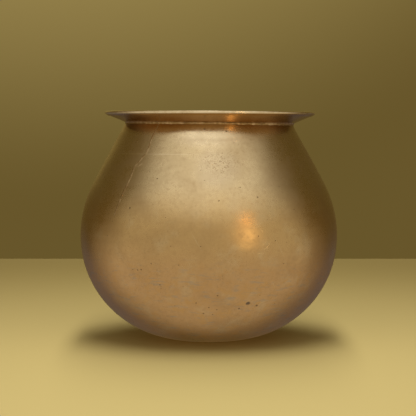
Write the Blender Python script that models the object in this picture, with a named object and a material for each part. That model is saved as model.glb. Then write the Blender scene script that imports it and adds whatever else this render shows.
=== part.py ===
"""Brass kalash pot: a round-bellied water and cooking pot with a flared lip.

The pot is a brazed sheet-brass vessel in six pieces. A raised bowl carries the foot and the belly.
A rolled wall leans in from the belly to the neck and is closed by one side seam. A flared collar
forms the mouth and the lip. Braze metal fills the belly seam, the side seam and the neck seam.
Lengths are in metres, +Z is up, and the origin is the middle of the foot.
"""

import math

import bmesh
import bpy
from mathutils import Matrix, Vector

MM = 0.001

# Driving dimensions of the outside
HEIGHT = 176.5 * MM
BELLY_RADIUS = 100 * MM
BOWL_ARC = 80.1 * MM  # meridian arc from the foot up to the widest line
SHOULDER_ARC = 87.7 * MM  # meridian arc from the widest line up to the straight wall
WALL_LEAN = math.radians(28.15)  # straight wall, from the vertical
FOOT_RADIUS = 25.5 * MM  # hammered flat that the pot stands on
NECK_RADIUS = 65.2 * MM  # outside of the wall's top edge
LIP_RADIUS = 81.4 * MM
LIP_RISE = math.radians(22.6)  # underside of the lip, from the horizontal

# Sheet, laps and seams
SHEET = 1.5 * MM
COLLAR_SHEET = 1.8 * MM
FIT_GAP = 0.3 * MM  # left between pieces that meet
BELLY_SEAM = math.radians(13.2)  # how far round the shoulder arc the bowl's outside ends
BELLY_LAP = 6 * MM  # tongue of the bowl inside the wall
BELLY_GROOVE = 1.6 * MM  # between bowl and wall, filled with braze
NECK_LAP = 6 * MM  # spigot of the collar inside the wall
NECK_GROOVE = 0.9 * MM  # between the wall's top edge and the lip
NECK_FILLET = 1.4 * MM  # leg of the braze fillet in the neck

# Side seam of the rolled wall
SEAM_AZIMUTH = math.radians(-125)  # at the neck, from +X
SEAM_SKEW = math.radians(-9)  # further round at the wall's lower edge
SEAM_SLIT = math.radians(1.5)
SEAM_GAP = math.radians(0.35)  # each side of the braze in the slit
SEAM_PROUD = 0.25 * MM
SEAM_TOP_GAP = 2.5 * MM  # keeps the seam's top end under the neck fillet

# Edge of the lip
HEM_WIDTH = 3.2 * MM
HEM_RELIEF = 0.4 * MM
HEM_STEP = 0.4 * MM
NOSE_RADIUS = 0.9 * MM
LID_LAND = 1.2 * MM  # flat top where a lid rests
LAND_BEVEL = 0.9 * MM
BEND_RADIUS = 0.6 * MM

# Fineness of the mesh
ROUND_STEPS = 64
ARC_STEP = math.radians(8)
BEND_STEP = math.radians(30)
SMOOTH_ANGLE = math.radians(35)
MERGE = 0.001 * MM

# What follows from those. A section's points are (radius, height).
BOWL_CENTRE = BELLY_RADIUS - BOWL_ARC
SHOULDER_CENTRE = BELLY_RADIUS - SHOULDER_ARC
BELLY_HEIGHT = math.sqrt(BOWL_ARC**2 - (FOOT_RADIUS - BOWL_CENTRE) ** 2)
WALL_UP = Vector((-math.sin(WALL_LEAN), math.cos(WALL_LEAN)))
WALL_OUT = Vector((math.cos(WALL_LEAN), math.sin(WALL_LEAN)))
LIP_OUT = Vector((math.cos(LIP_RISE), math.sin(LIP_RISE)))
LIP_UP = Vector((-math.sin(LIP_RISE), math.cos(LIP_RISE)))
UPWARDS = Vector((0, 1))


def clear_scene():
    for obj in list(bpy.data.objects):
        bpy.data.objects.remove(obj)


def metal(name, colour, roughness):
    material = bpy.data.materials.new(name)
    material.use_nodes = True
    shader = material.node_tree.nodes["Principled BSDF"]
    shader.inputs["Base Color"].default_value = (*colour, 1.0)
    shader.inputs["Metallic"].default_value = 1.0
    shader.inputs["Roughness"].default_value = roughness
    return material


def arc_angles(start, end, step):
    """Angles from start to end in even steps of about the given size."""
    count = max(1, round(abs(end - start) / step))
    return [start + (end - start) * i / count for i in range(count + 1)]


def bowl_curve(start, end, depth=0.0):
    """Arc under the widest line, between two angles of its normal, at a depth under the outside."""
    return [
        Vector((BOWL_CENTRE, BELLY_HEIGHT)) + (BOWL_ARC - depth) * Vector((math.cos(a), math.sin(a)))
        for a in arc_angles(start, end, ARC_STEP)
    ]


def shoulder_curve(start, end, depth=0.0):
    """Arc above the widest line, between two angles of its normal, at a depth under the outside."""
    return [
        Vector((SHOULDER_CENTRE, BELLY_HEIGHT)) + (SHOULDER_ARC - depth) * Vector((math.cos(a), math.sin(a)))
        for a in arc_angles(start, end, ARC_STEP)
    ]


def meet(point, direction, other, other_direction):
    """Where two lines of the section plane cross."""
    reach = (other - point).cross(other_direction) / direction.cross(other_direction)
    return point + direction * reach


def wall_top(depth=0.0):
    """Top edge of the wall, at a depth under the outside. The edge is parallel to the lip."""
    straight_start = shoulder_curve(WALL_LEAN, WALL_LEAN)[0]
    outside = meet(straight_start, WALL_UP, Vector((NECK_RADIUS, 0)), UPWARDS)
    return meet(outside - WALL_OUT * depth, WALL_UP, outside, LIP_OUT)


def rounded(corners):
    """Closed outline through (point, radius) corners, each corner cut by an arc of its radius."""
    outline = []
    for i, (point, radius) in enumerate(corners):
        if not radius:
            outline.append(point)
            continue
        back = (corners[i - 1][0] - point).normalized()
        ahead = (corners[(i + 1) % len(corners)][0] - point).normalized()
        half = back.angle(ahead) / 2
        centre = point + (back + ahead).normalized() * radius / math.sin(half)
        first = point + back * radius / math.tan(half) - centre
        last = point + ahead * radius / math.tan(half) - centre
        turn = math.atan2(first.cross(last), first.dot(last))
        outline += [centre + Matrix.Rotation(a, 2) @ first for a in arc_angles(0, turn, BEND_STEP)]
    return outline


def turned(name, section, material, start=0.0, sweep=2 * math.pi):
    """Solid turned from a section. A section with an end on the axis is open there, any other is a loop."""
    full_turn = sweep == 2 * math.pi
    mesh = bmesh.new()
    ring = [mesh.verts.new((p.x * math.cos(start), p.x * math.sin(start), p.y)) for p in section]
    pairs = list(zip(ring, ring[1:]))
    if section[0].x > 0:
        pairs.append((ring[-1], ring[0]))
    edges = [mesh.edges.new(pair) for pair in pairs]
    swept = bmesh.ops.spin(
        mesh,
        geom=ring + edges,
        axis=(0, 0, 1),
        cent=(0, 0, 0),
        angle=sweep,
        steps=max(1, round(ROUND_STEPS * sweep / (2 * math.pi))),
        use_merge=full_turn,
    )
    if not full_turn:
        last_edges = [e for e in swept["geom_last"] if isinstance(e, bmesh.types.BMEdge)]
        bmesh.ops.edgeloop_fill(mesh, edges=edges)
        bmesh.ops.edgeloop_fill(mesh, edges=last_edges)
    bmesh.ops.remove_doubles(mesh, verts=mesh.verts, dist=MERGE)
    bmesh.ops.recalc_face_normals(mesh, faces=mesh.faces)
    data = bpy.data.meshes.new(name)
    mesh.to_mesh(data)
    mesh.free()
    data.materials.append(material)
    data.shade_smooth()
    data.set_sharp_from_angle(angle=SMOOTH_ANGLE)
    obj = bpy.data.objects.new(name, data)
    bpy.context.scene.collection.objects.link(obj)
    return obj


def skew(obj):
    """Turns each point about Z in step with its height, so that the side seam slants."""
    top = wall_top().y
    bottom = shoulder_curve(BELLY_SEAM, BELLY_SEAM)[0].y
    for vertex in obj.data.vertices:
        share = (top - vertex.co.z) / (top - bottom)
        vertex.co = Matrix.Rotation(SEAM_SKEW * share, 3, "Z") @ vertex.co


def lower_bowl(material):
    """Foot and belly, with a tongue stepped in by one sheet that the wall fits over."""
    tongue = SHEET + FIT_GAP
    tongue_end = BELLY_SEAM + (BELLY_GROOVE + BELLY_LAP) / SHOULDER_ARC
    joggle = 2 * SHEET / SHOULDER_ARC
    foot_outside = -math.asin(BELLY_HEIGHT / BOWL_ARC)
    foot_inside = -math.asin((BELLY_HEIGHT - SHEET) / (BOWL_ARC - SHEET))
    section = [Vector((0, 0))]
    section += bowl_curve(foot_outside, 0)
    section += shoulder_curve(0, BELLY_SEAM)[1:]
    section += shoulder_curve(BELLY_SEAM, tongue_end, tongue)
    section += shoulder_curve(tongue_end, BELLY_SEAM, tongue + SHEET)
    section += shoulder_curve(BELLY_SEAM - joggle, 0, SHEET)
    section += bowl_curve(0, foot_inside, SHEET)[1:]
    section.append(Vector((0, SHEET)))
    return turned("lower_bowl", section, material)


def wall_section(top_gap=0.0, proud=0.0):
    """Section of the sheet from the belly groove to the neck, less top_gap, standing proud outside."""
    bottom = BELLY_SEAM + BELLY_GROOVE / SHOULDER_ARC
    section = shoulder_curve(bottom, WALL_LEAN, -proud)
    section.append(wall_top(-proud) - WALL_UP * top_gap)
    section.append(wall_top(SHEET) - WALL_UP * top_gap)
    section += shoulder_curve(WALL_LEAN, bottom, SHEET)
    return section


def upper_wall(material):
    """Sheet rolled round into the leaning wall, with a slit where its ends meet."""
    start = SEAM_AZIMUTH + SEAM_SLIT / 2
    wall = turned("upper_wall", wall_section(), material, start, 2 * math.pi - SEAM_SLIT)
    skew(wall)
    return wall


def side_seam_braze(material):
    """Braze that fills the wall's slit and stands a little proud of it."""
    half_width = SEAM_SLIT / 2 - SEAM_GAP
    section = wall_section(SEAM_TOP_GAP, SEAM_PROUD)
    seam = turned("side_seam_braze", section, material, SEAM_AZIMUTH - half_width, 2 * half_width)
    skew(seam)
    return seam


def belly_braze(material):
    """Flush ring that fills the groove between bowl and wall."""
    bottom = BELLY_SEAM + FIT_GAP / SHOULDER_ARC
    top = BELLY_SEAM + (BELLY_GROOVE - FIT_GAP) / SHOULDER_ARC
    section = shoulder_curve(bottom, top) + shoulder_curve(top, bottom, SHEET)
    return turned("belly_braze", section, material)


def neck_braze(material):
    """Fillet ring in the corner between the wall and the lip's underside."""
    wall_side = wall_top() + WALL_OUT * FIT_GAP
    lip_side = wall_top() + LIP_UP * (NECK_GROOVE - FIT_GAP)
    corner = meet(wall_side, WALL_UP, lip_side, LIP_OUT)
    section = [corner, corner + LIP_OUT * NECK_FILLET, corner - WALL_UP * NECK_FILLET]
    return turned("neck_braze", section, material)


def rim_collar(material):
    """Spigot inside the wall's top, bent out into the lip, whose edge is hemmed and flattened on top."""
    outside = wall_top(SHEET + FIT_GAP)
    inside = wall_top(SHEET + FIT_GAP + COLLAR_SHEET)
    underside = wall_top() + LIP_UP * NECK_GROOVE
    topside = underside + LIP_UP * COLLAR_SHEET
    edge = Vector((LIP_RADIUS, 0))
    hem_start = meet(underside, LIP_OUT, edge, UPWARDS) - LIP_OUT * HEM_WIDTH
    hem_line = hem_start + LIP_OUT * HEM_STEP - LIP_UP * HEM_RELIEF
    land_inner = Vector((LIP_RADIUS - NOSE_RADIUS - LID_LAND, HEIGHT))
    land_foot = meet(topside, LIP_OUT, land_inner - Vector((LAND_BEVEL, 0)), UPWARDS)
    section = rounded(
        [
            (outside - WALL_UP * NECK_LAP, 0),
            (meet(outside, WALL_UP, underside, LIP_OUT), BEND_RADIUS),
            (hem_start, 0),
            (hem_line, 0),
            (meet(hem_line, LIP_OUT, edge, UPWARDS), NOSE_RADIUS),
            (Vector((LIP_RADIUS, HEIGHT)), NOSE_RADIUS),
            (land_inner, 0),
            (land_foot, 0),
            (meet(inside, WALL_UP, topside, LIP_OUT), BEND_RADIUS + COLLAR_SHEET),
            (inside - WALL_UP * NECK_LAP, 0),
        ]
    )
    return turned("rim_collar", section, material)


def main():
    clear_scene()
    brass = metal("aged_brass", (0.62, 0.45, 0.21), 0.35)
    rim_brass = metal("rim_brass", (0.64, 0.47, 0.22), 0.3)
    braze = metal("braze", (0.72, 0.58, 0.32), 0.45)
    lower_bowl(brass)
    upper_wall(brass)
    rim_collar(rim_brass)
    belly_braze(braze)
    side_seam_braze(braze)
    neck_braze(braze)


main()
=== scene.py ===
"""Brass kalash pot: fine surfaces, materials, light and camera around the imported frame.

Each CAD piece is replaced by a fine mesh of the same size. The fine meshes add what hand work
leaves: a slightly tilted mouth, faint planishing, an uneven bead of braze in the neck, an irregular
brazed side seam, a folded lip edge and a dent. Lengths are in metres, +Z is up, and -Y faces the
camera. A place on the body is given as its azimuth in degrees from the front, to the right, and its
height in millimetres. The materials measure in millimetres.
"""

import math

import bpy
import numpy as np
from mathutils import Matrix, Vector, noise

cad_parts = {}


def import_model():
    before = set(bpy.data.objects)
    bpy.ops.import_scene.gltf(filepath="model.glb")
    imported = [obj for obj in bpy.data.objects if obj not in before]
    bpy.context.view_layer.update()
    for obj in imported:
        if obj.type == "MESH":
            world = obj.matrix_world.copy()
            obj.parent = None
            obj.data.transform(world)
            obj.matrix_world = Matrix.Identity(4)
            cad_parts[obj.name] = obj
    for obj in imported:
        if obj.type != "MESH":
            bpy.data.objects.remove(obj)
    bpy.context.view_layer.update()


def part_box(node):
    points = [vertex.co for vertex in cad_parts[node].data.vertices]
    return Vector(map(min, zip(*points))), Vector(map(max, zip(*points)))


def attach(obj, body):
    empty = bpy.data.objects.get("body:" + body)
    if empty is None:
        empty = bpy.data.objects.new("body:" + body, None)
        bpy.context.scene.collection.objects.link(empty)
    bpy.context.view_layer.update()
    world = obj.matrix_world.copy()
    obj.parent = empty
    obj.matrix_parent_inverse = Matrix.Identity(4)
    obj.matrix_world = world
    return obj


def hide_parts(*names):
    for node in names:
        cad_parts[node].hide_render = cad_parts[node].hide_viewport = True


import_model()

MM = 0.001

# Driving dimensions, read from the frame
BELLY_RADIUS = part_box("lower_bowl")[1].x
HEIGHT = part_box("rim_collar")[1].z
LIP_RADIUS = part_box("rim_collar")[1].x

# The body's outline, as the CAD has it
BOWL_ARC = 80.1 * MM  # radius of the arc below the belly
SHOULDER_ARC = 87.7 * MM  # radius of the arc above it
WALL_LEAN = math.radians(28.15)
FOOT_RADIUS = 25.5 * MM
NECK_RADIUS = 65.2 * MM
LIP_RISE = math.radians(22.6)
SHEET = 1.5 * MM
COLLAR_SHEET = 1.8 * MM
FIT_GAP = 0.3 * MM
BELLY_SEAM = math.radians(13.2)  # up the shoulder arc
BELLY_LAP = 7.6 * MM
BELLY_GROOVE = 1.6 * MM
NECK_LAP = 6 * MM
NECK_GROOVE = 0.9 * MM

# The collar's bends and its folded edge
FOOT_BEND = 0.6 * MM  # radius under the lip
MOUTH_BEND = 2.4 * MM  # radius over the lip
HEM_WIDTH = 3.2 * MM
HEM_RUN, HEM_DROP = 0.25 * MM, 0.4 * MM  # the step from the lip to the folded leaf
LOWER_NOSE, LOWER_INSET = 0.7 * MM, 0.75 * MM
UPPER_NOSE = 0.85 * MM
LOWER_NOSE_START, NOSE_CREASE = -1.6, 0.9  # angles on the noses, in radians
LAND_WIDTH, LAND_RUN, LAND_DROP = 2.6 * MM, 1.2 * MM, 0.15 * MM  # the flat on top of the edge

BOWL_CENTRE = Vector((BELLY_RADIUS - BOWL_ARC, 0))
SHOULDER_CENTRE = Vector((BELLY_RADIUS - SHOULDER_ARC, 0))
BELLY_HEIGHT = math.sqrt(BOWL_ARC**2 - (FOOT_RADIUS - BOWL_CENTRE.x) ** 2)
BOWL_CENTRE.y = SHOULDER_CENTRE.y = BELLY_HEIGHT
FOOT_ANGLE = -math.asin(BELLY_HEIGHT / BOWL_ARC)
GROOVE_TOP = BELLY_SEAM + BELLY_GROOVE / SHOULDER_ARC
WALL_UP = Vector((-math.sin(WALL_LEAN), math.cos(WALL_LEAN)))
WALL_OUT = Vector((math.cos(WALL_LEAN), math.sin(WALL_LEAN)))
LIP_OUT = Vector((math.cos(LIP_RISE), math.sin(LIP_RISE)))
LIP_UP = Vector((-math.sin(LIP_RISE), math.cos(LIP_RISE)))
UPWARDS = Vector((0, 1))

# What the hand work leaves. A span is a pair of heights, as shares of the full height.
LIP_TILT = math.radians(0.3)  # the left side stands higher
NECK_TILT = math.radians(0.55)
MOUTH_DROP = 0.46 * MM  # keeps the high side under the full height
TILT_SPAN = 0.62, 0.93
MOUTH_SHIFT = 0.8 * MM  # the collar sits a little to the right
SHIFT_SPAN = 0.925, 0.97
WALL_BULGE = 0.3 * MM  # the wall isn't quite straight between neck and shoulder
BULGE_SPAN = 0.62, 0.94
PLANISH, PLANISH_SIZE = 0.07 * MM, 30 * MM
RIPPLE, RIPPLE_RADIAN, RIPPLE_WANDER = 0.012 * MM, 1.1 * MM, 60 * MM
PLAIN_FOOT = 10 * MM, 45 * MM  # radii over which planishing and ripple set in
LIP_WAVE, LIP_WAVE_SIZE = 0.12 * MM, 22 * MM
LIP_WAVE_EDGE = LIP_RADIUS - 5 * MM, LIP_RADIUS - MM
DENT = (18.8, 37.3)
DENT_WIDTH = 4.4 * MM
DENT_DEPTH = 0.55 * MM
DENT_RIDGE = 0.08 * MM

# Neck bead: its legs along wall and lip, its root, and its lumps (size, octaves, strength)
NECK_LEG = 1.3 * MM
NECK_ROOT = 0.5 * MM
NECK_SWELL = 0.04 * MM
NECK_HOLLOW = 0.22  # how far its face is hollow, as a share of a leg
NECK_LUMPS = [(5 * MM, 3, 0.22), (1.6 * MM, 1, 0.1)]

# Side seam: its middle line from the neck down, and the bead that covers it
SEAM_LINE = [
    (-34.4, 166.9),
    (-36.3, 155),
    (-35.8, 147),
    (-37.3, 143.4),
    (-39.4, 139.5),
    (-41.5, 135),
    (-41.2, 128.5),
    (-42.3, 120),
    (-43.3, 111.5),
    (-44.2, 105),
    (-45, 99.5),
]
SEAM_BRANCH = [(-39.8, 135.4), (-38.6, 136.2), (-37.4, 137.7), (-35.9, 138.2)]
SEAM_MIDDLE = math.radians(-130)  # where the slit is cut, before it is turned to the line
SEAM_REACH = math.radians(22)  # how far to each side the wall's grid follows the seam's bends
SEAM_SLIT = 0.9 * MM
SEAM_WIDTH = 1.6 * MM
SEAM_PROUD = 0.08 * MM
SEAM_SUNK = 0.02 * MM
SEAM_ROOT = 0.12 * MM
STEM_FOOT = 0.28 * MM  # how far the braze stands through on the inside
BEAD_STEP = 0.45  # in millimetres, along the bead
BEAD_DEGREE = 1.4  # millimetres along the bead for a degree of azimuth
BEAD_BLUR = 7  # steps to each side that smooth the bead's line

# Fineness of the meshes
ROUND_STEPS = 480
PITCH = 1.3 * MM
INSIDE_PITCH = 2.6 * MM
BEND_PITCH = 0.4 * MM
LEAF_PITCH = 0.6 * MM
SEAM_PITCH = 0.8 * MM
HEM_PITCH = 0.2 * MM
NOSE_PITCH = 0.12 * MM
SHARP_ANGLE = math.radians(38)


def smoothstep(low, high, value):
    share = np.clip((value - low) / (high - low), 0, 1)
    return share * share * (3 - 2 * share)


# Outline ------------------------------------------------------------------------------------


def arc(centre, radius, start, end, pitch=PITCH):
    """Points of an arc in the (radius, height) plane, between two angles of its normal."""
    count = max(2, round(abs(end - start) * abs(radius) / pitch))
    angles = np.linspace(start, end, count + 1)
    return [centre + radius * Vector((math.cos(a), math.sin(a))) for a in angles]


def bowl_curve(start, end, depth=0.0, pitch=PITCH):
    return arc(BOWL_CENTRE, BOWL_ARC - depth, start, end, pitch)


def shoulder_curve(start, end, depth=0.0, pitch=PITCH):
    return arc(SHOULDER_CENTRE, SHOULDER_ARC - depth, start, end, pitch)


def straight(start, end, pitch=PITCH):
    count = max(1, round((end - start).length / pitch))
    return [start.lerp(end, i / count) for i in range(count + 1)]


def meet(point, direction, other, other_direction):
    """Where two lines of the section plane cross."""
    reach = (other - point).cross(other_direction) / direction.cross(other_direction)
    return point + direction * reach


def wall_top(depth=0.0):
    """Top edge of the wall, at a depth under the outside. The edge is parallel to the lip."""
    start = SHOULDER_CENTRE + SHOULDER_ARC * WALL_OUT
    outside = meet(start, WALL_UP, Vector((NECK_RADIUS, 0)), UPWARDS)
    return meet(outside - WALL_OUT * depth, WALL_UP, outside, LIP_OUT)


def wall_line(depth=0.0, pitch=PITCH):
    """The wall's outline from the belly groove to the neck."""
    curve = shoulder_curve(GROOVE_TOP, WALL_LEAN, depth, pitch)
    return curve + straight(curve[-1], wall_top(depth), pitch)[1:]


def bend(before, corner, after, radius):
    """Arc of the given radius that rounds a corner of the outline."""
    back = (before - corner).normalized()
    ahead = (after - corner).normalized()
    half = back.angle(ahead) / 2
    centre = corner + (back + ahead).normalized() * radius / math.sin(half)
    first = corner + back * radius / math.tan(half) - centre
    last = corner + ahead * radius / math.tan(half) - centre
    turn = math.atan2(first.cross(last), first.dot(last))
    count = max(3, round(abs(turn) * radius / BEND_PITCH))
    return [centre + Matrix.Rotation(turn * i / count, 2) @ first for i in range(count + 1)]


OUTSIDE = bowl_curve(FOOT_ANGLE, 0) + shoulder_curve(0, BELLY_SEAM)[1:] + wall_line()
OUTSIDE_HEIGHTS = [p.y for p in OUTSIDE]
OUTSIDE_RADII = [p.x for p in OUTSIDE]


def on_body(azimuth, height):
    """Point on the body's outside, from an azimuth in degrees and a height in millimetres."""
    radius = float(np.interp(height * MM, OUTSIDE_HEIGHTS, OUTSIDE_RADII))
    turn = math.radians(azimuth)
    return Vector((radius * math.sin(turn), -radius * math.cos(turn), height * MM))


# Hand work ----------------------------------------------------------------------------------


def fractal(points, size, octaves=2):
    """Smooth noise of about -1 to 1, with lumps of about the given size."""
    return np.array([noise.fractal(Vector(p) / size, 1.0, 2.0, octaves) for p in points])


def pushed(points, amount):
    """Moves points away from the axis by an amount for each."""
    x, y, z = points.T
    radius = np.hypot(x, y)
    out = np.divide(radius + amount, radius, out=np.ones_like(radius), where=radius > MM)
    return np.column_stack([x * out, y * out, z])


def hand_made(points):
    """Tilts and shifts the mouth, and bulges the wall."""
    x, y, z = points.T
    level = z / HEIGHT
    low, high = BULGE_SPAN
    bulge = np.sin(np.pi * np.clip((level - low) / (high - low), 0, 1)) ** 2
    tilts = [math.tan(NECK_TILT), math.tan(LIP_TILT)]
    tilt = np.interp(np.hypot(x, y), [NECK_RADIUS, LIP_RADIUS], tilts)
    drop = (x * tilt + MOUTH_DROP) * smoothstep(*TILT_SPAN, level)
    shift = MOUTH_SHIFT * smoothstep(*SHIFT_SPAN, level)
    return pushed(points, WALL_BULGE * bulge) + np.column_stack([shift, np.zeros_like(x), -drop])


def planished(points):
    """Moves points in a little, as a planishing hammer and a polishing lathe leave a body."""
    x, y, z = points.T
    lumps = (fractal(points, PLANISH_SIZE) - 1) * PLANISH
    rings = RIPPLE * np.sin(z / RIPPLE_RADIAN + 2.0 * fractal(points, RIPPLE_WANDER, 1))
    return pushed(points, (lumps + rings) * smoothstep(*PLAIN_FOOT, np.hypot(x, y)))


def dented(points):
    """Presses in the small dent low on the front, and raises a slight ridge round it."""
    away = np.linalg.norm(points - np.array(on_body(*DENT)), axis=1) / (DENT_WIDTH / 2)
    pressed = DENT_DEPTH * (1 - smoothstep(0.35, 1.0, away))  # away counts in the dent's radius
    ridge = DENT_RIDGE * np.exp(-((away - 1.25) ** 2) * 14)
    return pushed(points, ridge - pressed)


def wavy(points):
    """Lets the folded edge dip a little here and there."""
    x, y, _ = points.T
    edge = smoothstep(*LIP_WAVE_EDGE, np.hypot(x, y))
    dips = np.minimum(fractal(points * [1, 1, 0], LIP_WAVE_SIZE), 0)
    return points + np.outer(LIP_WAVE * dips * edge, [0, 0, 1])


def seam_azimuth(heights):
    """Azimuth of the side seam's middle line at each height, in radians from +X."""
    azimuths, levels = zip(*reversed(SEAM_LINE))
    return np.radians(np.interp(heights / MM, levels, azimuths) - 90)


def along_seam(points):
    """Turns the points of the wall near its slit, so that the slit follows the seam's line."""
    x, y, z = points.T
    angle = np.arctan2(y, x)
    away = np.abs((angle - SEAM_MIDDLE + math.pi) % (2 * math.pi) - math.pi)
    turned = angle + (seam_azimuth(z) - SEAM_MIDDLE) * (1 - smoothstep(0, SEAM_REACH, away))
    radius = np.hypot(x, y)
    return np.column_stack([radius * np.cos(turned), radius * np.sin(turned), z])


def neck_corner():
    return meet(wall_top(), WALL_UP, wall_top() + LIP_UP * NECK_GROOVE, LIP_OUT)


def uneven(points):
    """Swells and thins the neck bead round the pot. It is fullest on the right."""
    corner = neck_corner()
    x, y, z = points.T
    radius = np.hypot(x, y)
    size = 0.85 + 0.3 * smoothstep(0.2, 1.0, x / NECK_RADIUS)
    for lump, octaves, strength in NECK_LUMPS:
        size = size + strength * fractal(points, lump, octaves)
    moved = corner.x + (radius - corner.x) * size
    level = corner.y + (z - corner.y) * size
    return np.column_stack([x / radius * moved, y / radius * moved, level])


# Pieces -------------------------------------------------------------------------------------


def build(name, points, faces):
    mesh = bpy.data.meshes.new(name)
    mesh.from_pydata(points.tolist(), [], faces)
    mesh.validate()
    mesh.shade_smooth()
    mesh.set_sharp_from_angle(angle=SHARP_ANGLE)
    piece = bpy.data.objects.new(name, mesh)
    bpy.context.scene.collection.objects.link(piece)
    return piece


def revolve(name, section, deform, steps=ROUND_STEPS, gap=None):
    """Solid turned from an outline, which starts and ends on the axis or is a loop.

    A gap (middle, width), in radians, leaves the ring open there, with both ends closed.
    """
    on_axis = section[0].x < 1e-9
    columns = steps + 1 if gap else steps
    start = gap[0] + gap[1] / 2 if gap else 0
    sweep = 2 * math.pi - gap[1] if gap else 2 * math.pi
    angles = start + np.arange(columns) * sweep / steps
    radii = np.array([p.x for p in section])[:, None]
    heights = np.repeat(np.array([p.y for p in section])[:, None], columns, 1)
    grid = np.stack([radii * np.cos(angles), radii * np.sin(angles), heights], -1)
    count = len(section)
    if on_axis:
        poles = [[0, 0, heights[0, 0]], [0, 0, heights[-1, 0]]]
        points = np.concatenate([grid[1:-1].reshape(-1, 3), poles])
        count -= 2
    else:
        points = grid.reshape(-1, 3)
    for move in deform:
        points = move(points)

    bands = count - 1 if on_axis else count
    row, column = np.meshgrid(np.arange(bands), np.arange(steps), indexing="ij")
    here, above = row * columns, (row + 1) % count * columns
    beside = (column + 1) % columns
    corners = [here + column, here + beside, above + beside, above + column]
    faces = np.stack(corners, -1).reshape(-1, 4).tolist()
    if on_axis:
        first, last, tail = count * columns, count * columns + 1, (count - 1) * columns
        faces += [[first, (s + 1) % steps, s] for s in range(steps)]
        faces += [[last, tail + s, tail + (s + 1) % steps] for s in range(steps)]
    if gap:
        faces.append([row * columns for row in range(count)])
        faces.append([row * columns + steps for row in reversed(range(count))])
    return build(name, points, faces)


def bowl():
    """Foot and belly, with the tongue that the wall laps over."""
    tongue = SHEET + FIT_GAP
    tongue_end = BELLY_SEAM + BELLY_LAP / SHOULDER_ARC
    foot_inside = -math.asin((BELLY_HEIGHT - SHEET) / (BOWL_ARC - SHEET))
    section = straight(Vector((0, 0)), Vector((FOOT_RADIUS, 0)), INSIDE_PITCH)
    section += bowl_curve(FOOT_ANGLE, 0)[1:]
    section += shoulder_curve(0, BELLY_SEAM)[1:]
    section += shoulder_curve(BELLY_SEAM, tongue_end, tongue, INSIDE_PITCH)
    section += shoulder_curve(tongue_end, BELLY_SEAM, tongue + SHEET, INSIDE_PITCH)
    section += shoulder_curve(BELLY_SEAM - 2 * SHEET / SHOULDER_ARC, 0, SHEET, INSIDE_PITCH)
    section += bowl_curve(0, foot_inside, SHEET, INSIDE_PITCH)[1:]
    section += straight(section[-1], Vector((0, SHEET)), INSIDE_PITCH)[1:]
    return revolve("bowl", section, [planished, dented, hand_made])


def wall():
    """Leaning wall, open at the slit that the side seam fills."""
    section = wall_line() + wall_line(SHEET, INSIDE_PITCH)[::-1]
    slit = SEAM_SLIT / (0.8 * BELLY_RADIUS)  # the wall's mean radius is 0.8 of the belly's
    return revolve("wall", section, [along_seam, planished, hand_made], gap=(SEAM_MIDDLE, slit))


def collar():
    """Spigot inside the wall, lip, and the folded edge with its two ridges."""
    outside = wall_top(SHEET + FIT_GAP)
    inside = wall_top(SHEET + FIT_GAP + COLLAR_SHEET)
    underside = wall_top() + LIP_UP * NECK_GROOVE
    topside = underside + LIP_UP * COLLAR_SHEET
    edge = Vector((LIP_RADIUS, 0))
    hem_start = meet(underside, LIP_OUT, edge, UPWARDS) - LIP_OUT * HEM_WIDTH
    leaf = hem_start + LIP_OUT * HEM_RUN - LIP_UP * HEM_DROP
    leaf_edge = meet(leaf, LIP_OUT, edge, UPWARDS)
    under_corner = meet(outside, WALL_UP, underside, LIP_OUT)
    top_corner = meet(inside, WALL_UP, topside, LIP_OUT)
    land = Vector((LIP_RADIUS - LAND_WIDTH, HEIGHT - LAND_DROP))
    land_foot = meet(topside, LIP_OUT, land - Vector((LAND_RUN, 0)), UPWARDS)
    lower_centre = Vector((LIP_RADIUS - LOWER_INSET, leaf_edge.y + LOWER_INSET))
    upper_centre = Vector((LIP_RADIUS - UPPER_NOSE, HEIGHT - UPPER_NOSE))
    lower_nose = arc(lower_centre, LOWER_NOSE, LOWER_NOSE_START, NOSE_CREASE, NOSE_PITCH)
    upper_nose = arc(upper_centre, UPPER_NOSE, -NOSE_CREASE, math.pi / 2, NOSE_PITCH)
    foot = outside - WALL_UP * NECK_LAP
    inside_foot = inside - WALL_UP * NECK_LAP
    section = straight(foot, outside)[:-1]
    section += bend(foot, under_corner, hem_start, FOOT_BEND)
    section += straight(section[-1], hem_start)[1:]
    section += straight(hem_start, leaf, HEM_PITCH)[1:]
    section += straight(leaf, lower_nose[0], LEAF_PITCH)[1:-1]
    section += lower_nose + upper_nose
    section += [land, land_foot]
    rounded_top = bend(land_foot, top_corner, inside_foot, MOUTH_BEND)
    section += straight(land_foot, rounded_top[0])[1:-1]
    section += rounded_top
    section += straight(rounded_top[-1], inside_foot)[1:]
    return revolve("collar", section, [wavy, hand_made])


def belly_seam():
    """Braze in the groove between bowl and wall, flush with both."""
    section = shoulder_curve(BELLY_SEAM, GROOVE_TOP, 0, SEAM_PITCH)
    section += shoulder_curve(GROOVE_TOP, BELLY_SEAM, SHEET, SEAM_PITCH)
    return revolve("belly_seam", section, [planished, hand_made])


def neck_seam():
    """Fillet of braze between the wall's top edge and the lip."""
    corner = neck_corner()
    low = corner - WALL_UP * NECK_LEG
    high = corner + LIP_OUT * NECK_LEG
    middle = (low + high) / 2
    hollow = middle + (corner - middle).normalized() * NECK_HOLLOW * NECK_LEG
    swell = low.lerp(hollow, 0.5) + WALL_OUT * NECK_SWELL
    root = corner - LIP_OUT * NECK_ROOT
    section = [root, low, swell, hollow, hollow.lerp(high, 0.5), high]
    return revolve("neck_seam", section, [uneven, hand_made], steps=2 * ROUND_STEPS)


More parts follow.
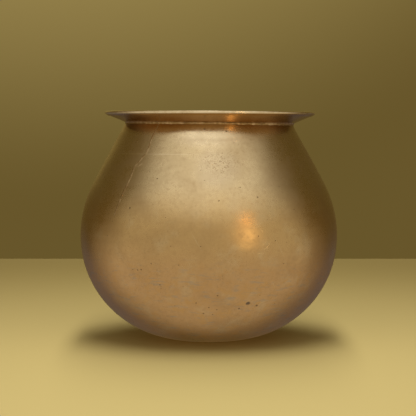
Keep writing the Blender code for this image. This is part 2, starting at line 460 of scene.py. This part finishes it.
def bead_path(line):
    """Points of a smoothed line on the body, and how far along it each is, in millimetres."""
    azimuths, heights = np.array(line).T
    run = np.hypot(np.diff(heights), np.diff(azimuths) * BEAD_DEGREE)
    run = np.concatenate([[0], np.cumsum(run)])
    steps = np.linspace(0, run[-1], max(8, int(run[-1] / BEAD_STEP)))
    places = zip(np.interp(steps, run, azimuths), np.interp(steps, run, heights))
    path = np.array([on_body(*place_at) for place_at in places])
    reach = [min(BEAD_BLUR, i, len(path) - 1 - i) for i in range(len(path))]
    return np.array([path[i - r : i + r + 1].mean(axis=0) for i, r in enumerate(reach)]), steps


def braze_line(name, line, stem):
    """Bead of braze along a line on the body, with a stem that fills the wall's slit if asked."""
    path, steps = bead_path(line)
    ahead = np.gradient(path, axis=0)
    ahead /= np.linalg.norm(ahead, axis=1)[:, None]
    out = path * [1, 1, 0]
    out /= np.linalg.norm(out, axis=1)[:, None]
    out = out * math.cos(WALL_LEAN) + np.array([0, 0, math.sin(WALL_LEAN)])
    side = np.cross(ahead, out)

    # The bead swells and drifts, and is narrow and low at both ends
    ends = smoothstep(0, 2.5, steps) * smoothstep(0, 2.5, steps[-1] - steps)
    width = SEAM_WIDTH / 2 * (1 + 0.4 * fractal(path + 1, 3.5 * MM, 3)) * (0.35 + 0.65 * ends)
    height = SEAM_PROUD * (1 + 0.6 * fractal(path, 2.2 * MM, 3)) * (0.2 + 0.8 * ends)
    if stem:
        width = np.maximum(width, 0.6 * SEAM_SLIT)  # covers the slit to its ends
        height = height * smoothstep(-5, 16, steps)  # rubbed flat under the neck

    # Section: the bead's back, then down one side, and up the other side in its mirror image
    back = [(u, (1 + math.cos(math.pi * u)) / 2) for u in np.linspace(-1, 1, 9)]
    shape = [(u * width, v * height - SEAM_SUNK) for u, v in back]
    down = [(0.9 * width, -SEAM_ROOT)]
    bottom = []
    if stem:
        half = 0.42 * SEAM_SLIT
        down += [(half, -SEAM_ROOT), (half, -SHEET), (1.6 * half, -SHEET - SEAM_SUNK)]
        bottom = [(0.0, -SHEET - STEM_FOOT)]
    shape += down + bottom + [(-u, v) for u, v in reversed(down)]
    rows = [path + side * np.reshape(u, (-1, 1)) + out * np.reshape(v, (-1, 1)) for u, v in shape]

    count, length = len(rows), len(path)
    faces = []
    for i in range(count):
        here, there = i * length, (i + 1) % count * length
        faces += [[here + j, here + j + 1, there + j + 1, there + j] for j in range(length - 1)]
    faces.append([i * length for i in range(count)])
    faces.append([i * length + length - 1 for i in reversed(range(count))])
    return build(name, hand_made(np.concatenate(rows)), faces)


# Materials ----------------------------------------------------------------------------------

GOLD = (0.60, 0.425, 0.205)
PALE = (0.66, 0.54, 0.34)
NECK_SHADE = (0.40, 0.225, 0.07)
SCRATCH_AND_HIGHLIGHT_PALE = (0.90, 0.78, 0.57)
ROSE = (0.60, 0.39, 0.195)
BROWN = (0.34, 0.215, 0.105)
ORANGE = (0.60, 0.375, 0.16)
SLATE = (0.41, 0.35, 0.28)
DULL = (0.60, 0.51, 0.38)
PIT = (0.16, 0.10, 0.055)
DENT_GREY = (0.10, 0.085, 0.075)
INSIDE = (0.42, 0.29, 0.15)
RIM_GOLD = (0.58, 0.38, 0.15)
RIM_UNDER_SHADE = (0.34, 0.19, 0.055)
RIM_EDGE_HIGHLIGHT = (0.82, 0.71, 0.52)
BRAZE_DARK, BRAZE_PALE = (0.36, 0.235, 0.10), (0.62, 0.46, 0.27)
SEAM_DARK, SEAM_PALE = (0.48, 0.34, 0.18), (0.68, 0.54, 0.35)
FLOOR_FRONT, FLOOR_FAR_SHADE = (0.38, 0.313, 0.134), (0.15, 0.115, 0.040)

# Places on the body
PATCH = (7.5, 138.5)
STAIN = (-7, 123)
NECK_HIGHLIGHT = (-1, 159)  # painted highlight under the neck
SCRATCH_HEIGHT = 144.5
NICK = (-46, 144.3)
PITS = [  # azimuth, height, size
    (-2.7, 162.8, 1.6),
    (10.9, 161.3, 1.8),
    (22, 114.2, 1.4),
    (23.6, 35.3, 2.0),
    (14.8, 33.6, 1.6),
    (0, 34.8, 1.2),
    (3.9, 44.1, 1.3),
    (-2.7, 30, 1.4),
    (1.9, 29.2, 1.0),
    (-13.5, 5.7, 1.3),
]

VALUE_RESULTS = ("DOT_PRODUCT", "DISTANCE", "LENGTH")
MIX_A, MIX_B, MIX_RESULT = 6, 7, 2  # the mix node's colour sockets, which share their names


class Surface:
    """Builds the nodes of one material. Places are in millimetres, and a method gives a socket.

    It starts as one colour, and each further colour is laid over what is there.
    """

    def __init__(self, name, colour):
        self.material = bpy.data.materials.new(name)
        self.material.use_nodes = True
        self.nodes = self.material.node_tree.nodes
        self.links = self.material.node_tree.links
        self.shader = self.nodes["Principled BSDF"]
        self.shader.inputs["Metallic"].default_value = 1.0
        self.colour = colour
        coordinates = self.nodes.new("ShaderNodeTexCoord")
        self.normal = coordinates.outputs["Normal"]
        self.mm = self.vector("SCALE", coordinates.outputs["Object"], Scale=1 / MM)

    def feed(self, socket, value):
        if isinstance(value, bpy.types.NodeSocket):
            self.links.new(value, socket)
        elif isinstance(value, tuple) and len(value) == 3 and socket.type == "RGBA":
            socket.default_value = (*value, 1)
        else:
            socket.default_value = value

    def vector(self, operation, first, second=None, **named):
        node = self.nodes.new("ShaderNodeVectorMath")
        node.operation = operation
        self.feed(node.inputs[0], first)
        if second is not None:
            self.feed(node.inputs[1], second)
        for name, value in named.items():
            self.feed(node.inputs[name], value)
        return node.outputs["Value" if operation in VALUE_RESULTS else "Vector"]

    def math(self, operation, first, second=0.0):
        node = self.nodes.new("ShaderNodeMath")
        node.operation = operation
        self.feed(node.inputs[0], first)
        self.feed(node.inputs[1], second)
        return node.outputs[0]

    def product(self, *factors):
        result = factors[0]
        for factor in factors[1:]:
            result = self.math("MULTIPLY", result, factor)
        return result

    def total(self, *terms):
        result = terms[0]
        for term in terms[1:]:
            result = self.math("ADD", result, term)
        return result

    def either(self, first, second):
        return self.math("MAXIMUM", first, second)

    def ramp(self, value, low, high, first=0.0, last=1.0):
        node = self.nodes.new("ShaderNodeMapRange")
        node.interpolation_type = "SMOOTHSTEP"
        self.feed(node.inputs["Value"], value)
        self.feed(node.inputs["From Min"], low)
        self.feed(node.inputs["From Max"], high)
        self.feed(node.inputs["To Min"], first)
        self.feed(node.inputs["To Max"], last)
        return node.outputs["Result"]

    def height(self, wobble=0.0):
        node = self.nodes.new("ShaderNodeSeparateXYZ")
        self.feed(node.inputs[0], self.mm)
        level = node.outputs["Z"]
        if wobble:
            level = self.total(level, self.product(self.noise(28, 4), wobble), -wobble / 2)
        return level

    def flat(self):
        """Place without its height, so that its length is the distance from the axis."""
        return self.vector("MULTIPLY", self.mm, (1, 1, 0.0))

    def noise(self, size, detail=3, turn=(0, 0, 0), shift=0.0, roughness=0.55, colour=False):
        """Noise with lumps of one size, or of a size along each axis of a turned frame."""
        mapping = self.nodes.new("ShaderNodeMapping")
        mapping.vector_type = "TEXTURE"
        self.feed(mapping.inputs["Vector"], self.mm)
        mapping.inputs["Location"].default_value = (shift, -shift, shift)
        mapping.inputs["Rotation"].default_value = [math.radians(a) for a in turn]
        mapping.inputs["Scale"].default_value = size if isinstance(size, tuple) else (size,) * 3
        node = self.nodes.new("ShaderNodeTexNoise")
        self.feed(node.inputs["Vector"], mapping.outputs["Vector"])
        node.inputs["Scale"].default_value = 1.0
        node.inputs["Detail"].default_value = detail
        node.inputs["Roughness"].default_value = roughness
        return node.outputs["Color" if colour else "Fac"]

    def near(self, azimuth, height, reach, edge, ragged=0.0, stretch=(1, 1, 1)):
        """One within a reach of a place on the body, fading to nothing over the edge beyond it."""
        centre = on_body(azimuth, height) / MM
        offset = self.vector("SUBTRACT", self.mm, tuple(centre))
        if ragged:
            wander = self.vector("SUBTRACT", self.noise(5, 4, colour=True), (0.5, 0.5, 0.5))
            offset = self.vector("ADD", offset, self.vector("SCALE", wander, Scale=ragged))
        offset = self.vector("MULTIPLY", offset, stretch)
        return self.ramp(self.vector("LENGTH", offset), reach + edge, reach)

    def lay(self, colour, *shares):
        """Lays a colour over what is there, by the product of some shares."""
        node = self.nodes.new("ShaderNodeMix")
        node.data_type = "RGBA"
        self.feed(node.inputs["Factor"], self.product(*shares))
        self.feed(node.inputs[MIX_A], self.colour)
        self.feed(node.inputs[MIX_B], colour)
        self.colour = node.outputs[MIX_RESULT]

    def finish(self, roughness, relief=None, depth=0.05 * MM):
        self.feed(self.shader.inputs["Base Color"], self.colour)
        self.feed(self.shader.inputs["Roughness"], roughness)
        if relief is not None:
            bump = self.nodes.new("ShaderNodeBump")
            bump.inputs["Strength"].default_value = 1.0
            bump.inputs["Distance"].default_value = depth
            self.feed(bump.inputs["Height"], relief)
            self.feed(self.shader.inputs["Normal"], bump.outputs["Normal"])
        return self.material


def aged_brass():
    """Body: golden on the belly, paler above, rosy and blotched below, scratched all over; painted
    shade and a painted highlight under the neck.
    """
    s = Surface("aged_brass", ROSE)
    level = s.height(14)
    s.lay(GOLD, s.ramp(level, 50, 92))
    s.lay(PALE, s.ramp(level, 90, 128))
    # Painted shade: the wall is darker just under the lip
    s.lay(NECK_SHADE, s.ramp(s.height(4), 159.5, 166))

    # Broad clouds of tarnish, and a finer mottle
    clouds = s.noise(26, 5, roughness=0.6)
    mottle = s.noise(3.2, 5, shift=3, roughness=0.7)
    s.lay(BROWN, s.ramp(clouds, 0.42, 0.70, 0, 0.26))
    s.lay(PALE, s.ramp(s.noise(17, 4, shift=9), 0.5, 0.74, 0, 0.4))
    s.lay(BROWN, s.ramp(mottle, 0.45, 0.72, 0, 0.2))

    # Lower bowl: orange-brown blotches, slate-grey streaks lying level
    low = s.ramp(level, 76, 52)
    blotches = s.noise(7, 6, shift=21, roughness=0.65)
    s.lay(ORANGE, low, s.ramp(blotches, 0.5, 0.62, 0, 0.75))
    streaks = s.noise((11, 11, 2.2), 5, shift=5, roughness=0.65)
    s.lay(SLATE, low, s.ramp(streaks, 0.53, 0.66, 0, 0.5))

    # Grain: pale and dark specks, thicker in some areas than in others
    thick = s.ramp(s.noise(38, 3, shift=14), 0.42, 0.6, 0.25, 1)
    grain = s.noise(0.9, 3, shift=2, roughness=0.7)
    s.lay(BROWN, thick, s.ramp(grain, 0.56, 0.70, 0, 0.6))
    s.lay(PALE, thick, s.ramp(grain, 0.42, 0.30, 0, 0.3))

    # The pitted patch high on the front, dull all round, and a stain below it
    patch = s.near(*PATCH, 3, 14, 11, (0.75, 0.75, 0.95))
    pitted = s.product(patch, s.ramp(s.noise(1.0, 3, shift=7, roughness=0.65), 0.55, 0.64))
    s.lay(DULL, s.near(4, 135, 8, 14, 8), 0.4)
    s.lay(BROWN, pitted, 0.6)
    s.lay(BROWN, s.near(*STAIN, 0.3, 1.8, 3.0, (1, 1, 0.2)), 0.3)

    # Fine scratches in three directions, each with its own areas
    scratches = 0.0
    for turn, shift in (((0, 35, 0), 1), ((0, -28, 12), 31), ((0, 82, 0), 57)):
        lines = s.ramp(s.noise((0.5, 40, 26), 2, turn, shift), 0.66, 0.72)
        where = s.ramp(s.noise(19, 2, shift=shift + 4), 0.5, 0.62)
        scratches = s.either(scratches, s.product(lines, where))
    s.lay(PALE, scratches, 0.45)

    # One long level scratch across the side seam, with a bright nick at its end
    off_line = s.math("ABSOLUTE", s.math("SUBTRACT", s.height(), SCRATCH_HEIGHT))
    scratch = s.product(s.ramp(off_line, 0.45, 0.1), s.near(-34, SCRATCH_HEIGHT, 14, 30))
    s.lay(SCRATCH_AND_HIGHLIGHT_PALE, s.either(scratch, s.near(*NICK, 0.3, 0.5)), 0.45)

    # Painted highlight under the neck
    s.lay(SCRATCH_AND_HIGHLIGHT_PALE, s.near(*NECK_HIGHLIGHT, 3, 27, 5, (0.8, 0.8, 2.3)), 0.9)

    # Single pits and specks, and the dent
    specks = s.ramp(s.noise(2.6, 1, shift=11), 0.77, 0.80)
    s.lay(PIT, specks)
    for azimuth, height, size in PITS:
        s.lay(PIT, s.near(azimuth, height, 0.2 * size, 0.45 * size), 0.8)
    s.lay(DENT_GREY, s.near(*DENT, 1.0, 1.1, 1.5), 0.8)

    # Inside: dull and darker
    facing = s.vector("DOT_PRODUCT", s.vector("NORMALIZE", s.flat()), s.normal)
    inside = s.ramp(facing, 0.0, -0.15)
    s.lay(INSIDE, inside, 0.8)

    roughness = s.total(
        s.ramp(clouds, 0.3, 0.75, 0.25, 0.36),
        s.ramp(mottle, 0.4, 0.75, -0.02, 0.06),
        s.product(s.either(inside, s.product(low, 0.5)), 0.12),
        s.ramp(s.height(), 158, 162, 0, -0.08),
    )
    relief = s.total(
        s.product(s.noise(0.8, 3, shift=8), 0.12),
        s.product(s.noise(3.5, 3, shift=6), 0.35),
        s.product(s.either(specks, pitted), -0.8),
        s.product(scratches, -0.25),
        # A slope under the neck at the front, which lifts the bright reflection to the painted
        # highlight
        s.product(s.ramp(s.height(), 155, 165, 0, 14), s.near(-1, 160, 10, 26)),
    )
    return s.finish(roughness, relief, 0.06 * MM)


def rim_brass():
    """Collar: deeper gold, brushed round, with painted shade underneath and a painted highlight on
    the folded edge.
    """
    s = Surface("rim_brass", RIM_GOLD)
    s.lay(BROWN, s.ramp(s.noise(14, 4), 0.4, 0.7, 0, 0.45))
    brushed = s.noise((20, 20, 0.35), 3, shift=4)
    s.lay(BROWN, s.ramp(brushed, 0.45, 0.7, 0, 0.35))
    # Painted shade: darker where the collar faces down
    shaded_underside = s.ramp(s.vector("DOT_PRODUCT", s.normal, (0, 0, -1)), 0.3, 0.75)
    s.lay(RIM_UNDER_SHADE, shaded_underside, 0.85)
    # Painted highlight: pale along the top of the folded edge
    far_out = s.ramp(s.vector("LENGTH", s.flat()), 78, 79.6)
    edge = s.product(far_out, s.ramp(s.height(), 173.6, 174.6))
    s.lay(RIM_EDGE_HIGHLIGHT, edge, s.ramp(s.noise(4, 3, shift=2), 0.3, 0.6, 0.7, 1))
    s.lay(PIT, s.ramp(s.noise(1.6, 2, shift=11), 0.70, 0.76))
    roughness = s.total(
        s.ramp(s.noise(9, 4, shift=5), 0.3, 0.7, 0.24, 0.36),
        s.product(s.either(shaded_underside, edge), -0.09),
    )
    relief = s.total(s.product(brushed, 0.4), s.product(s.noise(0.9, 2), 0.2))
    return s.finish(roughness, relief, 0.04 * MM)


def braze():
    """Braze: dull, with dark pits, rubbed pale here and there."""
    s = Surface("braze", BRAZE_DARK)
    s.lay(BRAZE_PALE, s.ramp(s.noise(3, 4), 0.45, 0.62))
    pits = s.ramp(s.noise(1.3, 3, shift=3), 0.56, 0.64)
    s.lay(PIT, pits, 0.7)
    roughness = s.ramp(s.noise(2, 2, shift=5), 0.3, 0.7, 0.34, 0.5)
    relief = s.total(s.product(s.noise(0.8, 3, shift=8), 0.5), s.product(pits, -1))
    return s.finish(roughness, relief, 0.08 * MM)


def seam_braze():
    """Braze of the side seam: rubbed nearly smooth, pale in places."""
    s = Surface("seam_braze", SEAM_DARK)
    rubbed = s.ramp(s.noise((3, 3, 6), 4, shift=9, roughness=0.65), 0.42, 0.58)
    s.lay(SEAM_PALE, rubbed, s.ramp(s.height(), 166, 146))
    roughness = s.ramp(s.noise(2, 2, shift=5), 0.3, 0.7, 0.30, 0.42)
    return s.finish(roughness, s.product(s.noise(0.8, 3, shift=8), 0.4), 0.06 * MM)


def floor_paint():
    """Pale floor with a painted pool of light: darker away from a point in front of the pot."""
    s = Surface("floor", FLOOR_FRONT)
    s.shader.inputs["Metallic"].default_value = 0.0
    s.shader.inputs["Specular IOR Level"].default_value = 0.2
    # Painted light falloff: the floor darkens away from the front
    s.lay(FLOOR_FAR_SHADE, s.ramp(s.vector("DISTANCE", s.mm, (0, -450, 0)), 100, 1050))
    return s.finish(0.8)


# Stage --------------------------------------------------------------------------------------

EYE = (-0.6 * MM, -1.0, 0.1633)
EYE_DOWN = math.radians(3.56)
LENS, SENSOR, NEAREST = 110.9, 36, 0.01
FLOOR_SIDE, FLOOR_BACK, FLOOR_NEAR = 1.6, 0.6, -1.6

# Each glow: direction, angle in degrees where it is full, angle where it ends, radiance
GLOWS = [
    # Overhead: a broad soft box, and a small bright middle
    ((0, -0.40, 0.92), 24, 58, (0.40, 0.385, 0.36)),
    ((0, -0.3, 0.95), 0, 12, (1.6, 1.55, 1.45)),
    # From the front and below: pale, with a wider brown one round it
    ((0, -0.94, -0.34), 75, 111, (0.39, 0.385, 0.34)),
    ((0, -0.94, -0.34), 60, 140, (0.11, 0.065, 0.023)),
    # From both sides below, for the belly's edges
    ((-0.9, 0.25, -0.35), 8, 30, (0.17, 0.155, 0.135)),
    ((0.9, 0.25, -0.35), 8, 30, (0.11, 0.095, 0.08)),
    # From behind below, bluish, for the outline
    ((-0.5, 0.74, -0.45), 5, 28, (0.03, 0.05, 0.11)),
    ((0.5, 0.74, -0.45), 5, 28, (0.03, 0.05, 0.11)),
    # The backdrop: brighter above, and a little brighter behind the pot
    ((-0.12, 0.87, 0.47), 0, 32, (0.28, 0.22, 0.08)),
    ((0, 1, 0), 0, 40, (0.015, 0.012, 0.002)),
]
SURROUND = (0.122, 0.081, 0.022)

BELLY = (0, 0, 0.1)  # where the warm lamps aim

# Each lamp: name, place, aim, size, power, colour, and the kind of ray it is hidden from
LAMPS = [
    ("overhead", (0, 0.12, 1.1), (0, 0.12, 0), (0.2, 2.4), 24, (1, 0.96, 0.88), "glossy"),
    ("warm", (0.643, -1.013, 0.15), BELLY, (0.07, 0.26), 0.5, (1, 0.68, 0.32), "diffuse"),
    ("warm_above", (0.643, -1.013, 0.475), BELLY, (0.05, 0.08), 0.2, (1, 0.42, 0.06), "diffuse"),
]


def camera():
    data = bpy.data.cameras.new("camera")
    data.sensor_width = SENSOR
    data.lens = LENS
    data.clip_start = NEAREST
    eye = bpy.data.objects.new("camera", data)
    eye.location = EYE
    eye.rotation_euler = (math.pi / 2 - EYE_DOWN, 0, 0)
    bpy.context.scene.collection.objects.link(eye)
    bpy.context.scene.camera = eye


def floor(material):
    """Floor, which the pot's brass doesn't reflect."""
    x, near, back = FLOOR_SIDE, FLOOR_NEAR, FLOOR_BACK
    corners = [(-x, near, 0), (x, near, 0), (x, back, 0), (-x, back, 0)]
    mesh = bpy.data.meshes.new("floor")
    mesh.from_pydata(corners, [], [(0, 1, 2, 3)])
    mesh.materials.append(material)
    piece = bpy.data.objects.new("floor", mesh)
    piece.visible_glossy = False
    bpy.context.scene.collection.objects.link(piece)


def world():
    """Soft light from all round, as a sum of glows with soft edges over an olive surround."""
    studio = bpy.data.worlds.new("studio")
    bpy.context.scene.world = studio
    studio.use_nodes = True
    nodes, links = studio.node_tree.nodes, studio.node_tree.links
    direction = nodes.new("ShaderNodeTexCoord").outputs["Generated"]
    total = None
    for towards, full, end, radiance in GLOWS:
        dot = nodes.new("ShaderNodeVectorMath")
        dot.operation = "DOT_PRODUCT"
        links.new(direction, dot.inputs[0])
        dot.inputs[1].default_value = Vector(towards).normalized()
        share = nodes.new("ShaderNodeMapRange")
        share.interpolation_type = "SMOOTHSTEP"
        links.new(dot.outputs["Value"], share.inputs["Value"])
        share.inputs["From Min"].default_value = math.cos(math.radians(end))
        share.inputs["From Max"].default_value = math.cos(math.radians(full))
        glow = nodes.new("ShaderNodeVectorMath")
        glow.operation = "MULTIPLY_ADD"
        links.new(share.outputs["Result"], glow.inputs[0])
        glow.inputs[1].default_value = radiance
        if total is None:
            glow.inputs[2].default_value = SURROUND
        else:
            links.new(total, glow.inputs[2])
        total = glow.outputs["Vector"]
    links.new(total, nodes["Background"].inputs["Color"])


def lamp(name, place_at, aim, size, power, colour, hidden_from):
    data = bpy.data.lights.new(name, "AREA")
    data.shape = "ELLIPSE"
    data.size, data.size_y = size
    data.energy = power
    data.color = colour
    light = bpy.data.objects.new(name, data)
    light.location = place_at
    light.rotation_euler = (Vector(aim) - Vector(place_at)).to_track_quat("-Z", "Y").to_euler()
    light.visible_camera = False
    setattr(light, f"visible_{hidden_from}", False)
    bpy.context.scene.collection.objects.link(light)


def place(piece, node, material):
    """Gives a piece its material, and says what it belongs to and stands in for."""
    piece.data.materials.append(material)
    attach(piece, "root")
    if node:
        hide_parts(node)


bpy.context.scene.view_settings.view_transform = "Standard"
camera()
floor(floor_paint())
world()
for settings in LAMPS:
    lamp(*settings)

body, rim, joint, rubbed_joint = aged_brass(), rim_brass(), braze(), seam_braze()
place(bowl(), "lower_bowl", body)
place(wall(), "upper_wall", body)
place(collar(), "rim_collar", rim)
place(belly_seam(), "belly_braze", body)
place(braze_line("side_seam", SEAM_LINE, True), "side_seam_braze", rubbed_joint)
place(braze_line("side_seam_branch", SEAM_BRANCH, False), None, rubbed_joint)
place(neck_seam(), "neck_braze", joint)
